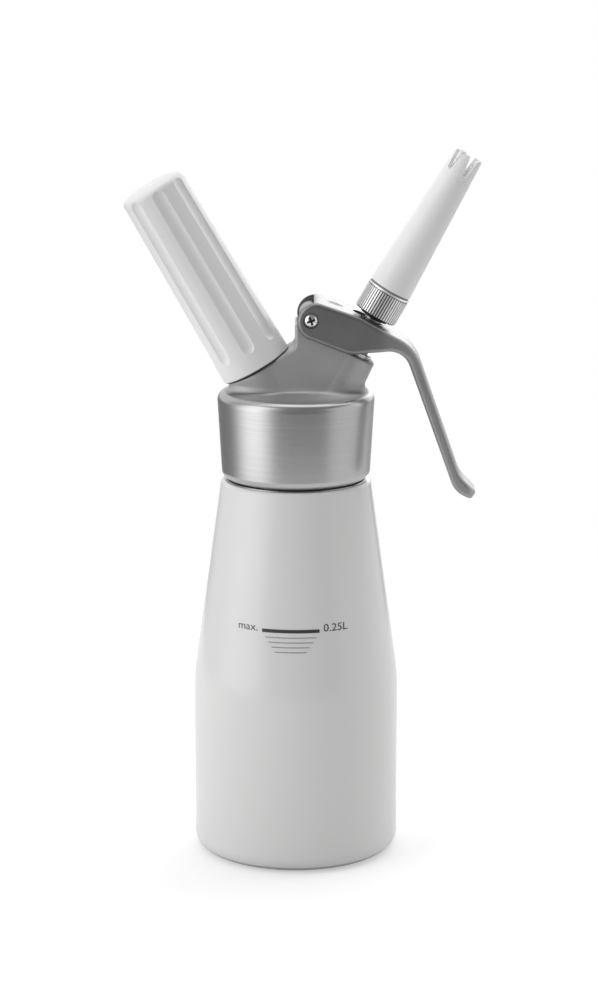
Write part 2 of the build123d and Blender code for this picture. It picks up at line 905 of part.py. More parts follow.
# ================================================================ pusher collar
with BuildPart() as pusher_collar:
    with BuildSketch(valve_section) as button:
        with BuildLine():
            Polyline(
                (stem_radius, pusher_height(stem_radius)),
                (stem_radius, pusher_foot),
                (pusher_radius, pusher_foot),
                (pusher_radius, pusher_edge),
            )
            RadiusArc(
                (stem_radius, pusher_height(stem_radius)), (pusher_radius, pusher_edge), pusher_dome_radius
            )
        make_face()
    revolve(axis=valve_axis)
pusher_collar.part.label = "pusher_collar"

# ================================================================ lever
end_centre = from_pivot(lever_end_offset)


def end_point(normal):
    """Tangent point of the lever's round end for a line with this normal."""
    return (
        lever_end_offset[0] + lever_end_radius * normal[0],
        lever_end_offset[1] + lever_end_radius * normal[1],
    )


with BuildPart() as lever:
    lever_corners = [
        (end_point(web_back_normal), 0),
        (web_bend, web_bend_rounding),
        (shoulder_bend, shoulder_rounding),
        (handle_tip_bend_outer, tip_bend_outer_rounding),
        (handle_tip_outer, tip_end_rounding),
        (handle_tip_inner, tip_end_rounding),
        (handle_tip_bend_inner, tip_bend_inner_rounding),
        (inner_bend, underside_rounding),
        (cheek_front, cheek_front_rounding),
        (cheek_lowest, cheek_foot_rounding),
        (end_point(foot_normal), 0),
    ]
    with BuildSketch(Plane.XZ) as outline:
        with BuildLine():
            Polyline(*(from_pivot(point) for point, _ in lever_corners), close=True)
        make_face()
        for point, rounding in lever_corners:
            if rounding:
                fillet(outline.vertices().sort_by_distance(from_pivot(point))[0], rounding)
        with Locations(end_centre):
            Circle(lever_end_radius)
    extrude(amount=cheek_outer, both=True)

    # plan of the lever: full width over the head, then drawn in to the handle
    back_x = pivot_x - 2 * lever_end_radius
    widest_x = pivot_x + web_bend[0] + plan_widest_offset
    waist_x = pivot_x + shoulder_bend[0] + plan_waist_offset
    tip_x = pivot_x + handle_tip_outer[0]
    waist_half_width = handle_half_width - handle_waist
    with BuildSketch(Plane.XY.offset(pivot[1])) as plan:
        with BuildLine():
            Polyline(
                (back_x, -cheek_outer),
                (widest_x, -cheek_outer),
                (waist_x, -waist_half_width),
                (tip_x, -handle_half_width),
                (tip_x, handle_half_width),
                (waist_x, waist_half_width),
                (widest_x, cheek_outer),
                (back_x, cheek_outer),
                close=True,
            )
        make_face()
        for x, half_width, rounding in (
            (widest_x, cheek_outer, plan_widest_rounding),
            (waist_x, waist_half_width, plan_waist_rounding),
            (tip_x, handle_half_width, plan_tip_rounding),
        ):
            for y in (-half_width, half_width):
                fillet(plan.vertices().sort_by_distance((x, y))[0], rounding)
    extrude(amount=2 * handle_reach + 2 * lever_end_radius, both=True, mode=Mode.INTERSECT)
    rims = lever.edges().filter_by(lambda e: abs((e % 0.5).Y) < 0.9)
    fillet(rims, lever_edge_radius)

    # hollow between the cheeks, open below and at the back
    with BuildSketch(Plane.XZ):
        with BuildLine():
            Polyline(
                from_pivot((-2 * lever_end_radius, 2 * lever_end_radius)),
                from_pivot((hollow_back, 2 * lever_end_radius)),
                from_pivot(along_line(web_back_normal, web_back_distance - web_thickness, hollow_back)),
                from_pivot(web_bend_inside),
                from_pivot(along_line(web_front_normal, web_rise - web_thickness, hollow_end)),
                from_pivot((hollow_end, -4 * lever_end_radius)),
                from_pivot((-2 * lever_end_radius, -4 * lever_end_radius)),
                close=True,
            )
        make_face()
    extrude(amount=cheek_inner, both=True, mode=Mode.SUBTRACT)

    # slot for the stem, square to the valve's axis
    slot_half_width = stem_radius + slot_clearance
    slot_back = slot_half_width + slot_back_room
    slot_front = slot_half_width + slot_front_room
    with BuildSketch(valve_plane.offset(web_foot_reach - web_thickness)):
        with Locations(((slot_front - slot_back) / 2, 0)):
            SlotOverall(slot_front + slot_back, 2 * slot_half_width)
    extrude(amount=3 * web_thickness, mode=Mode.SUBTRACT)

    # thumb dimple on the back slope
    dimple_sphere = (dimple_radius**2 + dimple_depth**2) / (2 * dimple_depth)
    dimple_lift = web_back_distance - dimple_depth + dimple_sphere
    dimple_point = from_pivot(
        (
            dimple_lift * web_back_normal[0] + dimple_distance * web_back_normal[1],
            dimple_lift * web_back_normal[1] - dimple_distance * web_back_normal[0],
        )
    )
    with Locations((dimple_point[0], 0, dimple_point[1])):
        Sphere(dimple_sphere, mode=Mode.SUBTRACT)

    # pivot holes with their counterbores
    with BuildSketch(Plane.XZ):
        with Locations(pivot):
            Circle(pivot_pin_radius + pivot_clearance)
    extrude(amount=2 * cheek_outer, both=True, mode=Mode.SUBTRACT)
    for side in (1, -1):
        with BuildSketch(Plane.XZ.offset(side * (cheek_outer - pivot_recess_depth))):
            with Locations(pivot):
                Circle(pivot_recess_radius)
        extrude(amount=side * 2 * pivot_recess_depth, mode=Mode.SUBTRACT)
lever.part.label = "lever"

# ================================================================ lever washer


def washer_height(radius):
    """Reach of the washer's domed face at a distance from the valve's axis."""
    return washer_foot + washer_dome_radius - sqrt(washer_dome_radius**2 - radius**2)


with BuildPart() as lever_washer:
    with BuildSketch(valve_section):
        with BuildLine():
            Polyline(
                (stem_radius, washer_height(stem_radius)),
                (stem_radius, washer_top),
                (washer_radius, washer_top),
                (washer_radius, washer_height(washer_radius)),
            )
            RadiusArc(
                (stem_radius, washer_height(stem_radius)),
                (washer_radius, washer_height(washer_radius)),
                -washer_dome_radius,
            )
        make_face()
    revolve(axis=valve_axis)
lever_washer.part.label = "lever_washer"

# ================================================================ nozzle adapter
knurl_top = washer_top + adapter_knurl_height
lip_top = knurl_top + adapter_lip_height
spigot_top = lip_top + spigot_height

with BuildPart() as nozzle_adapter:
    with BuildSketch(valve_plane.offset(washer_top)):
        Circle(adapter_radius)
        with PolarLocations(adapter_radius, adapter_rib_count):
            RegularPolygon(adapter_rib_depth, 3, rotation=180, mode=Mode.SUBTRACT)
    extrude(amount=adapter_knurl_height)
    turn(
        valve_section,
        valve_axis,
        [
            (0, washer_top),
            (adapter_radius - adapter_edge, washer_top),
            (adapter_radius, washer_top + adapter_edge),
            (adapter_radius, knurl_top),
            (0, knurl_top),
        ],
        Mode.INTERSECT,
    )
    turn(
        valve_section,
        valve_axis,
        [
            (0, knurl_top),
            (adapter_radius - adapter_edge, knurl_top),
            (adapter_radius, knurl_top + adapter_edge / 2),
            (adapter_radius, lip_top - adapter_edge / 2),
            (adapter_radius - adapter_edge / 2, lip_top),
            (0, lip_top),
        ],
    )
    turn_ring(valve_section, valve_axis, 0, spigot_radius, knurl_top, spigot_top)
    wind_thread(
        valve_plane,
        lip_top + nozzle_thread_pitch,
        spigot_radius,
        spigot_thread_depth,
        nozzle_thread_pitch,
        nozzle_thread_turns,
    )
    turn_ring(valve_section, valve_axis, 0, stem_radius, washer_top, stem_top_reach, Mode.SUBTRACT)
    turn_ring(valve_section, valve_axis, 0, spigot_bore_radius, washer_top, spigot_top, Mode.SUBTRACT)
nozzle_adapter.part.label = "nozzle_adapter"

# ================================================================ nozzle gasket
nozzle_foot = lip_top + nozzle_gasket_thickness
nozzle_socket_radius = spigot_radius + spigot_thread_depth + nozzle_thread_clearance

with BuildPart() as nozzle_gasket:
    turn_ring(
        valve_section, valve_axis, nozzle_socket_radius, nozzle_gasket_radius, lip_top, nozzle_foot
    )
nozzle_gasket.part.label = "nozzle_gasket"

# ================================================================ star nozzle
nozzle_top = nozzle_foot + nozzle_length
nozzle_draft = (nozzle_base_radius - nozzle_tip_radius) / nozzle_length
socket_top = spigot_top + nozzle_socket_room
bore_foot_radius = nozzle_base_radius - (socket_top - nozzle_foot) * nozzle_draft - nozzle_wall

with BuildPart() as star_nozzle:
    turn(
        valve_section,
        valve_axis,
        [
            (nozzle_socket_radius, nozzle_foot),
            (nozzle_base_radius, nozzle_foot),
            (nozzle_tip_radius, nozzle_top),
            (nozzle_tip_radius - nozzle_wall, nozzle_top),
            (bore_foot_radius, socket_top),
            (nozzle_socket_radius, socket_top - nozzle_socket_chamfer),
        ],
    )
    for number in range(nozzle_tooth_count):
        side = around(valve_plane, nozzle_slot_turn + 360.0 / nozzle_tooth_count * number)
        tip = side.origin + side.z_dir * nozzle_top
        with BuildSketch(Plane(origin=tip, x_dir=side.y_dir, z_dir=side.x_dir)) as notch:
            with BuildLine():
                Polyline(
                    (-nozzle_slot_foot_width / 2, -nozzle_slot_depth),
                    (nozzle_slot_foot_width / 2, -nozzle_slot_depth),
                    (nozzle_slot_mouth_width / 2, 0),
                    (nozzle_tip_radius, 0),
                    (nozzle_tip_radius, nozzle_wall),
                    (-nozzle_tip_radius, nozzle_wall),
                    (-nozzle_tip_radius, 0),
                    (-nozzle_slot_mouth_width / 2, 0),
                    close=True,
                )
            make_face()
            for corner in notch.vertices():
                if corner.Y < -0.9 * nozzle_slot_depth:
                    fillet(corner, nozzle_slot_foot_rounding)
            for corner in notch.vertices():
                if abs(corner.Y) < 0.01 and abs(corner.X) < 0.9 * nozzle_tip_radius:
                    fillet(corner, nozzle_tooth_rounding)
        extrude(amount=2 * nozzle_tip_radius, mode=Mode.SUBTRACT)
star_nozzle.part.label = "star_nozzle"

# ================================================================ pivot screw
head_seat = cheek_outer - pivot_recess_depth + pivot_clearance
head_crown = head_seat + pivot_head_thickness
pivot_plane = Plane(origin=(pivot[0], 0, pivot[1]), x_dir=(1, 0, 0), z_dir=(0, -1, 0))

pivot_axis = Axis(pivot_plane.origin, pivot_plane.z_dir)
pivot_section = Plane(origin=pivot_plane.origin, x_dir=(1, 0, 0), z_dir=(0, 0, 1))


def turn_head(side):
    """Turn the domed head at one end of the pivot."""
    with BuildSketch(pivot_section) as button:
        with BuildLine():
            crown = TangentArc(
                (0, side * head_crown),
                (pivot_head_radius, side * (head_seat + pivot_head_edge)),
                tangent=(1, 0),
            )
            Polyline(crown @ 1, (pivot_head_radius, side * head_seat), (0, side * head_seat), crown @ 0)
        make_face()
    revolve(button.sketch, axis=pivot_axis)


with BuildPart() as pivot_screw:
    turn_head(-1)
    with BuildSketch(pivot_plane.offset(head_crown - cross_recess_depth)):
        Rectangle(cross_recess_length, cross_recess_width, rotation=cross_recess_turn)
        Rectangle(cross_recess_width, cross_recess_length, rotation=cross_recess_turn)
    extrude(amount=cross_recess_depth, mode=Mode.SUBTRACT)
    with BuildSketch(pivot_plane.offset(-pivot_joint)):
        Circle(pivot_pin_radius)
    extrude(amount=head_seat + pivot_joint)
    with BuildSketch(pivot_plane.offset(pivot_end_gap - head_seat)):
        Circle(pivot_thread_radius)
    extrude(amount=head_seat - pivot_joint - pivot_end_gap)
pivot_screw.part.label = "pivot_screw"

# ================================================================ pivot nut
with BuildPart() as pivot_nut:
    turn_head(1)
    with BuildSketch(pivot_plane.offset(-head_seat)):
        Circle(pivot_pin_radius)
        Circle(pivot_thread_radius, mode=Mode.SUBTRACT)
    extrude(amount=head_seat - pivot_joint)
pivot_nut.part.label = "pivot_nut"

# ================================================================ export
os.makedirs("parts", exist_ok=True)
export_step(bottle.part, "parts/bottle.step")
export_step(head_gasket.part, "parts/head_gasket.step")
export_step(head_casting.part, "parts/head_casting.step")
export_step(pivot_screw.part, "parts/pivot_screw.step")
export_step(pivot_nut.part, "parts/pivot_nut.step")
export_step(stem_guide_nut.part, "parts/stem_guide_nut.step")
export_step(stem_o_ring.part, "parts/stem_o_ring.step")
export_step(return_spring.part, "parts/return_spring.step")
export_step(charger_port.part, "parts/charger_port.step")
export_step(piercing_pin.part, "parts/piercing_pin.step")
export_step(check_sleeve.part, "parts/check_sleeve.step")
export_step(charger_seal.part, "parts/charger_seal.step")
export_step(holder_seal.part, "parts/holder_seal.step")
export_step(lever.part, "parts/lever.step")
export_step(valve_stem.part, "parts/valve_stem.step")
export_step(valve_seal.part, "parts/valve_seal.step")
export_step(pusher_collar.part, "parts/pusher_collar.step")
export_step(lever_washer.part, "parts/lever_washer.step")
export_step(nozzle_adapter.part, "parts/nozzle_adapter.step")
export_step(nozzle_gasket.part, "parts/nozzle_gasket.step")
export_step(star_nozzle.part, "parts/star_nozzle.step")
export_step(gas_charger.part, "parts/gas_charger.step")
export_step(charger_holder.part, "parts/charger_holder.step")
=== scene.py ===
import math

import bmesh
import bpy
from bpy.props import FloatProperty, FloatVectorProperty, PointerProperty
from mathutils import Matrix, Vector


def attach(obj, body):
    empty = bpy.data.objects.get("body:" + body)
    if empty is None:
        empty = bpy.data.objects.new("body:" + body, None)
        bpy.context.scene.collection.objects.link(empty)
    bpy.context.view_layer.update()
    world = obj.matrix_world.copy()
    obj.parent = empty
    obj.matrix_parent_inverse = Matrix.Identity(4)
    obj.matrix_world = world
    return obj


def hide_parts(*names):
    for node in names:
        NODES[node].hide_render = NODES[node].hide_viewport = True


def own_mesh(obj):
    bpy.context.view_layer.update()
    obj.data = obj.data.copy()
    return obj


bl_info = {
    "name": "Cream Whipper Looks",
    "version": (1, 0, 0),
    "blender": (4, 5, 0),
    "location": "3D View > Sidebar > Whipper",
    "description": "Finishes, printed marks and studio for a cream whipper",
    "category": "Object",
}

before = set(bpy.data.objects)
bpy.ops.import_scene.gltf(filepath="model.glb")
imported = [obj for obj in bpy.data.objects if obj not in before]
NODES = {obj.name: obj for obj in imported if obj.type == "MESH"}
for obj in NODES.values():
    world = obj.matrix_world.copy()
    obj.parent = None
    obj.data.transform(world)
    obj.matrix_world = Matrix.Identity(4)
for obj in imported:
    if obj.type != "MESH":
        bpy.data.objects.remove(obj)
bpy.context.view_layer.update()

MM = 0.001
DEGREE = math.radians(1)

# The leaning axes of the valve and of the charger holder, and the lever's pivot
TILT = math.radians(30)
VALVE_ROOT = (0, 0, 140.5 * MM)
HOLDER_ROOT = (0, 0, 146.3 * MM)
PIVOT = (5.04 * MM, 0, 186.24 * MM)

# The bottle's outline, and the lacquer's edges on it
BOTTLE_RADIUS = 35 * MM
SHOULDER_RADIUS = 25.5 * MM
CONE_START = 61.6 * MM
SHOULDER_HEIGHT = 130.4 * MM
CONE_SLOPE = (BOTTLE_RADIUS - SHOULDER_RADIUS) / (SHOULDER_HEIGHT - CONE_START)
BOTTOM_SPHERE = 49.56 * MM
BOTTOM_RISE = 8 * MM
INTO_WALL = 1.3 * MM
INTO_BOTTOM = 1 * MM
# Height of the neck ring, whose colour is darkened as painted shade under the collar
NECK_RING = 1.5 * MM

# The turned dome, brightened as a painted highlight, and the collar of the head
DOME_TOP = 162.2 * MM
DOME_DROP = 1.6 * MM
DOME_REACH = 22.5 * MM
COLLAR_START = 24.0 * MM
COLLAR_FULL = 25.2 * MM

# The screw's cross recess and the adapter's knurl, both darkened as painted shade, and the rubbed part
# of the handle
SCREW_FACE = 10.85 * MM
RECESS_RADIUS = 1.7 * MM
KNURL_ROOT = 7.22 * MM
KNURL_CREST = 7.52 * MM
RUB_START = 24 * MM
RUB_FULL = 48 * MM
RUB_WANDER = 6 * MM

# Heights of fine surface detail, and the width of a soft edge between finishes
HAIRLINE = 0.004 * MM
FINE_GRAIN = 0.01 * MM
COARSE_GRAIN = 0.03 * MM
SOFT_EDGE = 0.2 * MM

# The fill marks: one bar, thin lines under it that get shorter, and a word on each side
FILL_HEIGHT = 85.2 * MM
BAR_LEFT = -11.6 * MM
BAR_RIGHT = 8.0 * MM
BAR_THICKNESS = 1.15 * MM
LINE_COUNT = 4
LINE_DROP = 2.6 * MM
LINE_PITCH = 1.62 * MM
LINE_INSET = 1.1 * MM
LINE_THICKNESS = 0.3 * MM
LETTER_BASE = 0.9 * MM
WORDS = (("max.", -20.6 * MM, -13.2 * MM), ("0.25L", 9.4 * MM, 18.2 * MM))
PRINT_LIFT = 0.05 * MM
BAR_STEP = 0.5 * MM
CAPITAL_SHARE = 0.72

# The floor and the camera
FLOOR_RADIUS = 0.42
FLOOR_GLOW = 0.40
CAMERA_PLACE = (0.00102, -1.0629, 0.3675)
CAMERA_DIP = 12.98
SENSOR_WIDTH = 36


# ---------------------------------------------------------------- shader maths
class Value:
    """A number that varies over a surface; an expression on it adds its Math nodes."""

    def __init__(self, graph, socket):
        self.graph = graph
        self.socket = socket

    def combine(self, operation, *others):
        inputs = dict(enumerate((self, *others)))
        return self.graph.node("ShaderNodeMath", {"operation": operation}, inputs)

    def __add__(self, other):
        return self.combine("ADD", other)

    def __radd__(self, other):
        return self.combine("ADD", other)

    def __sub__(self, other):
        return self.combine("SUBTRACT", other)

    def __rsub__(self, other):
        return self.graph.node("ShaderNodeMath", {"operation": "SUBTRACT"}, {0: other, 1: self})

    def __mul__(self, other):
        return self.combine("MULTIPLY", other)

    def __rmul__(self, other):
        return self.combine("MULTIPLY", other)

    def __abs__(self):
        return self.combine("ABSOLUTE")

    def sqrt(self):
        return self.combine("SQRT")

    def heading(self, ahead):
        """The angle of the point with this across and the other ahead."""
        return self.combine("ARCTAN2", ahead)

    def least(self, other):
        return self.combine("MINIMUM", other)

    def most(self, other):
        return self.combine("MAXIMUM", other)

    def rise(self, low, high):
        """0 below low, 1 above high and smooth between them."""
        settings = {"interpolation_type": "SMOOTHSTEP", "clamp": True}
        ends = {"From Min": low, "From Max": high, "To Min": 0.0, "To Max": 1.0}
        return self.graph.node("ShaderNodeMapRange", settings, {"Value": self, **ends})

    def band(self, low, high, soft):
        """1 between low and high, with soft ends."""
        return self.rise(low - soft, low) * (1 - self.rise(high, high + soft))


class Graph:
    """The nodes of one material or world."""

    def __init__(self, owner):
        owner.use_nodes = True
        self.tree = owner.node_tree
        self.tree.nodes.clear()

    def node(self, kind, settings=None, inputs=None, output=0):
        """Add a node: its settings first, then the values or links of its sockets."""
        made = self.tree.nodes.new(kind)
        for name, value in (settings or {}).items():
            setattr(made, name, value)
        for name, value in (inputs or {}).items():
            socket = made.inputs[name]
            if isinstance(value, Value):
                self.tree.links.new(value.socket, socket)
            elif socket.type == "RGBA" and len(value) == 3:
                socket.default_value = (*value, 1)
            else:
                socket.default_value = value
        return Value(self, made.outputs[output]) if made.outputs else None

    def place(self):
        """Place on the object in metres."""
        return self.node("ShaderNodeTexCoord", output="Object")

    def place_along(self, root, lean):
        """Place on the object in metres, turned so that z runs along a leaning axis."""
        inputs = {"Vector": self.place(), "Location": root, "Rotation": (0, lean, 0)}
        return self.node("ShaderNodeMapping", {"vector_type": "TEXTURE"}, inputs)

    def parts(self, vector):
        """The x, y and z of a vector."""
        return [
            self.node("ShaderNodeSeparateXYZ", None, {"Vector": vector}, output=axis)
            for axis in range(3)
        ]

    def noise(self, vector, scale, detail=2.0, roughness=0.5):
        """Noise with so many features to the metre, or to the vector's unit."""
        inputs = {"Vector": vector, "Scale": scale, "Detail": detail, "Roughness": roughness}
        return self.node("ShaderNodeTexNoise", None, inputs)

    def streaks(self, x, y, z, across, along, detail, roughness):
        """Noise with so many features to the metre across the axis and so many along it."""
        inputs = {"X": x * across, "Y": y * across, "Z": z * along}
        vector = self.node("ShaderNodeCombineXYZ", None, inputs)
        return self.noise(vector, scale=1, detail=detail, roughness=roughness)

    def varied(self, factor, colour, low, high):
        """A colour that goes from one multiple of itself to another."""
        return self.mix(factor, scaled(colour, low), scaled(colour, high))

    def mix(self, factor, low, high):
        """Colour between low and high."""
        settings = {"data_type": "RGBA", "clamp_factor": True}
        return self.node("ShaderNodeMix", settings, {0: factor, 6: low, 7: high}, output=2)

    def bump(self, height, distance, strength, normal=None):
        """Normal of a surface roughened by a height of so many metres."""
        inputs = {"Height": height, "Distance": distance, "Strength": strength}
        if normal:
            inputs["Normal"] = normal
        return self.node("ShaderNodeBump", None, inputs)

    def surface(self, shader):
        self.node("ShaderNodeOutputMaterial", None, {"Surface": shader})

    def principled(self, inputs):
        return self.node("ShaderNodeBsdfPrincipled", None, inputs)


def new_material(name):
    material = bpy.data.materials.new(name)
    return material, Graph(material)


def dress(node, material):
    """Give a CAD node its finish."""
    part = NODES[node]
    part.data.materials.clear()
    part.data.materials.append(material)


def from_axis(x, y):
    """Distance from the axis that x and y are measured from."""
    return (x * x + y * y).sqrt()


def new_piece(name, bm, material):
    """An object in the scene, made from a bmesh that isn't needed any more."""
    mesh = bpy.data.meshes.new(name)
    bm.to_mesh(mesh)
    bm.free()
    mesh.materials.append(material)
    piece = bpy.data.objects.new(name, mesh)
    bpy.context.scene.collection.objects.link(piece)
    return piece


def scaled(colour, amount):
    """A colour made lighter or darker, no channel above 1."""
    return tuple(min(1.0, channel * amount) for channel in colour)


# ---------------------------------------------------------------- settings
def colour_property(name, description, default):
    return FloatVectorProperty(
        name=name, description=description, subtype="COLOR", size=3, min=0, max=1, default=default
    )


class LacquerSettings(bpy.types.PropertyGroup):
    colour: colour_property("Lacquer", "Colour of the bottle's lacquer", (0.84, 0.84, 0.835))
    roughness: FloatProperty(
        name="Roughness", description="Roughness of the lacquer", default=0.13, min=0, max=1
    )
    peel: FloatProperty(
        name="Peel", description="Height of the lacquer's waviness", default=0.00002, unit="LENGTH"
    )
    ink: colour_property("Ink", "Colour of the printed fill marks", (0.045, 0.045, 0.05))
    line_ink: colour_property("Line ink", "Colour of the thin fill lines", (0.28, 0.28, 0.285))
    letter_height: FloatProperty(
        name="Letters", description="Height of the printed letters", default=0.0026, unit="LENGTH"
    )


class MetalSettings(bpy.types.PropertyGroup):
    cast: colour_property("Casting", "Colour of the head's cast metal", (0.50, 0.50, 0.505))
    turned: colour_property("Turned", "Colour of the brushed collar", (0.50, 0.50, 0.505))
    lever: colour_property("Lever", "Colour of the lever", (0.27, 0.27, 0.275))
    handle: colour_property("Handle", "Colour of the lever's rubbed handle", (0.40, 0.40, 0.405))
    steel: colour_property("Steel", "Colour of the small steel parts", (0.52, 0.52, 0.525))
    plated: colour_property("Plated", "Colour of the plated nozzle adapter", (0.82, 0.82, 0.825))


class MouldedSettings(bpy.types.PropertyGroup):
    nozzle: colour_property("Nozzle", "Colour of the star nozzle", (0.95, 0.95, 0.945))
    holder: colour_property("Holder", "Colour of the charger holder", (0.92, 0.92, 0.92))
    rubber: colour_property("Rubber", "Colour of the seals", (0.02, 0.02, 0.02))
    gasket: colour_property("Gasket", "Colour of the nozzle's gasket", (0.20, 0.20, 0.20))


class StudioSettings(bpy.types.PropertyGroup):
    floor: colour_property("Floor", "Colour of the floor", (0.74, 0.74, 0.74))
    front_level: FloatProperty(
        name="Front", description="Level of the room on the camera's side", default=0.26, min=0
    )
    left_level: FloatProperty(
        name="Left", description="Level of the wide soft box on the left", default=2.05, min=0
    )
    right_level: FloatProperty(
        name="Right", description="Level of the soft box on the right", default=0.86, min=0
    )
    left_rim_level: FloatProperty(
        name="Left rim", description="Level of the soft box behind on the left", default=0.9, min=0
    )
    right_rim_level: FloatProperty(
        name="Right rim", description="Level of the soft box behind on the right", default=1.6, min=0
    )
    top_level: FloatProperty(
        name="Top", description="Level of the soft box overhead", default=1.5, min=0
    )
    back_level: FloatProperty(name="Back", description="Level of the backdrop", default=1.0, min=0)
    window_level: FloatProperty(
        name="Window", description="Level of the bright strip low on the backdrop", default=4.2, min=0
    )
    lens: FloatProperty(name="Lens", description="Focal length in millimetres", default=115.0)


class WhipperSettings(bpy.types.PropertyGroup):
    lacquer: PointerProperty(type=LacquerSettings)
    metal: PointerProperty(type=MetalSettings)
    moulded: PointerProperty(type=MouldedSettings)
    studio: PointerProperty(type=StudioSettings)


# ---------------------------------------------------------------- finishes
def lacquered_metal(settings):
    """Gloss lacquer outside, bare drawn metal on the neck and inside, with painted shade on the neck
    ring under the collar.
    """
    material, graph = new_material("bottle_lacquer")
    x, y, z = graph.parts(graph.place())
    radius = from_axis(x, y)
    outer = (BOTTLE_RADIUS - (z - CONE_START) * CONE_SLOPE).least(BOTTLE_RADIUS)
    bottom = (BOTTOM_SPHERE**2 - radius * radius).most(0.0).sqrt() - (BOTTOM_SPHERE - BOTTOM_RISE)
    within_wall = (outer - INTO_WALL - radius).rise(0, SOFT_EDGE)
    inside = within_wall * (z - bottom - INTO_BOTTOM).rise(0, SOFT_EDGE)
    bare = z.rise(SHOULDER_HEIGHT - 0.05 * MM, SHOULDER_HEIGHT + 0.1 * MM).most(inside)
    neck_ring = z.band(SHOULDER_HEIGHT, SHOULDER_HEIGHT + NECK_RING, soft=0.05 * MM) * (1 - inside)

    cloud = graph.noise(graph.place(), scale=35, detail=2)
    specks = graph.noise(graph.place(), scale=900, detail=3, roughness=0.6)
    rings = graph.streaks(x, y, z, across=3, along=1500, detail=3, roughness=0.6)
    waves = graph.noise(graph.place(), scale=260, detail=1)

    lacquer = graph.varied(cloud, settings.lacquer.colour, 0.985, 1.01)
    # The neck ring is the bare metal made a little darker: painted shade under the collar.
    metal = graph.varied(rings, settings.metal.steel, 0.8, 1)
    neck_ring_shade = scaled(settings.metal.steel, 0.85)
    lacquer_roughness = settings.lacquer.roughness + specks * 0.05
    peel = graph.bump(waves, settings.lacquer.peel, strength=0.6)
    graph.surface(
        graph.principled(
            {
                "Base Color": graph.mix(neck_ring, graph.mix(bare, lacquer, metal), neck_ring_shade),
                "Metallic": bare,
                "Roughness": bare * (0.2 + rings * 0.15) + (1 - bare) * lacquer_roughness,
                "Normal": graph.bump(rings * bare, COARSE_GRAIN, strength=0.6, normal=peel),
                "IOR": 1.5,
            }
        )
    )
    return material


def cast_head(settings):
    """Satin cast metal with a turned dome brightened as a painted highlight, and a finely brushed
    collar.
    """
    material, graph = new_material("head_cast_metal")
    x, y, z = graph.parts(graph.place())
    radius = from_axis(x, y)
    above_dome = z + radius * radius * (DOME_DROP / DOME_REACH**2) - DOME_TOP
    turned = 1 - above_dome.rise(0, 0.6 * MM)
    collar = radius.rise(COLLAR_START, COLLAR_FULL) * turned

    mottle = graph.noise(graph.place(), scale=140, detail=4, roughness=0.6)
    grain = graph.noise(graph.place(), scale=2600, detail=2, roughness=0.6)
    fine_lines = graph.streaks(x, y, z, across=6, along=9000, detail=2, roughness=0.7)
    broad_lines = graph.streaks(x, y, z, across=4, along=900, detail=2, roughness=0.5)

    cast_colour = graph.varied(mottle, settings.metal.cast, 0.90, 1.08)
    collar_colour = graph.varied(broad_lines, settings.metal.turned, 0.90, 1.07)
    # The dome takes the turned colour made much lighter: a painted highlight. The collar keeps its
    # brushed colour.
    dome_highlight_and_collar = graph.mix(collar, scaled(settings.metal.turned, 1.75), collar_colour)
    lines = graph.bump(fine_lines * turned, FINE_GRAIN, strength=0.5)
    graph.surface(
        graph.principled(
            {
                "Base Color": graph.mix(turned, cast_colour, dome_highlight_and_collar),
                "Metallic": 1.0,
                "Roughness": collar * (0.20 + fine_lines * 0.10) + (1 - collar) * (0.46 + mottle * 0.10),
                "Normal": graph.bump(grain * (1 - collar), COARSE_GRAIN, strength=0.35, normal=lines),
                "Anisotropic": 0.75,
            }
        )
    )
    return material


def screw_steel(settings):
    """Polished screw heads with painted shade in their cross recess."""
    material, graph = new_material("pivot_steel")
    x, y, z = graph.parts(graph.place())
    distance = from_axis(x - PIVOT[0], z - PIVOT[2])
    below_face = 1 - abs(y).rise(SCREW_FACE - SOFT_EDGE, SCREW_FACE)
    # The cross recess is painted near-black: painted shade.
    recess = below_face * (1 - distance.rise(RECESS_RADIUS - SOFT_EDGE, RECESS_RADIUS))
    scratches = graph.streaks(x, y, z, across=900, along=5200, detail=2, roughness=0.6)
    painted_recess_shade = scaled(settings.metal.steel, 0.12)
    graph.surface(
        graph.principled(
            {
                "Base Color": graph.mix(recess, settings.metal.plated, painted_recess_shade),
                "Metallic": 1.0,
                "Roughness": 0.16 + scratches * 0.10 + recess * 0.3,
                "Normal": graph.bump(scratches, HAIRLINE, strength=0.4),
            }
        )
    )
    return material


def rubbed_metal(settings):
    """Dark blasted metal, rubbed lighter along the handle."""
    material, graph = new_material("lever_metal")
    x = graph.parts(graph.place())[0]
    mottle = graph.noise(graph.place(), scale=120, detail=4, roughness=0.6)
    grain = graph.noise(graph.place(), scale=3000, detail=2, roughness=0.6)
    rubbed = (x + mottle * RUB_WANDER).rise(RUB_START, RUB_FULL)
    dark = graph.varied(mottle, settings.metal.lever, 0.92, 1.06)
    light = graph.varied(mottle, settings.metal.handle, 0.94, 1.04)
    graph.surface(
        graph.principled(
            {
                "Base Color": graph.mix(rubbed, dark, light),
                "Metallic": 1.0,
                "Roughness": 0.36 + mottle * 0.08 + rubbed * 0.06,
                "Normal": graph.bump(grain, COARSE_GRAIN, strength=0.4),
            }
        )
    )
    return material


def turned_metal(name, colour, root, lean, roughness):
    """Turned metal with fine rings round its axis."""
    material, graph = new_material(name)
    x, y, z = graph.parts(graph.place_along(root, lean))
    radius = from_axis(x, y)
    rings = graph.streaks(x, y, z + radius, across=10, along=6000, detail=2, roughness=0.6)
    graph.surface(
        graph.principled(
            {
                "Base Color": graph.varied(rings, colour, 0.88, 1.05),
                "Metallic": 1.0,
                "Roughness": roughness + rings * 0.10,
                "Normal": graph.bump(rings, FINE_GRAIN, strength=0.4),
            }
        )
    )
    return material


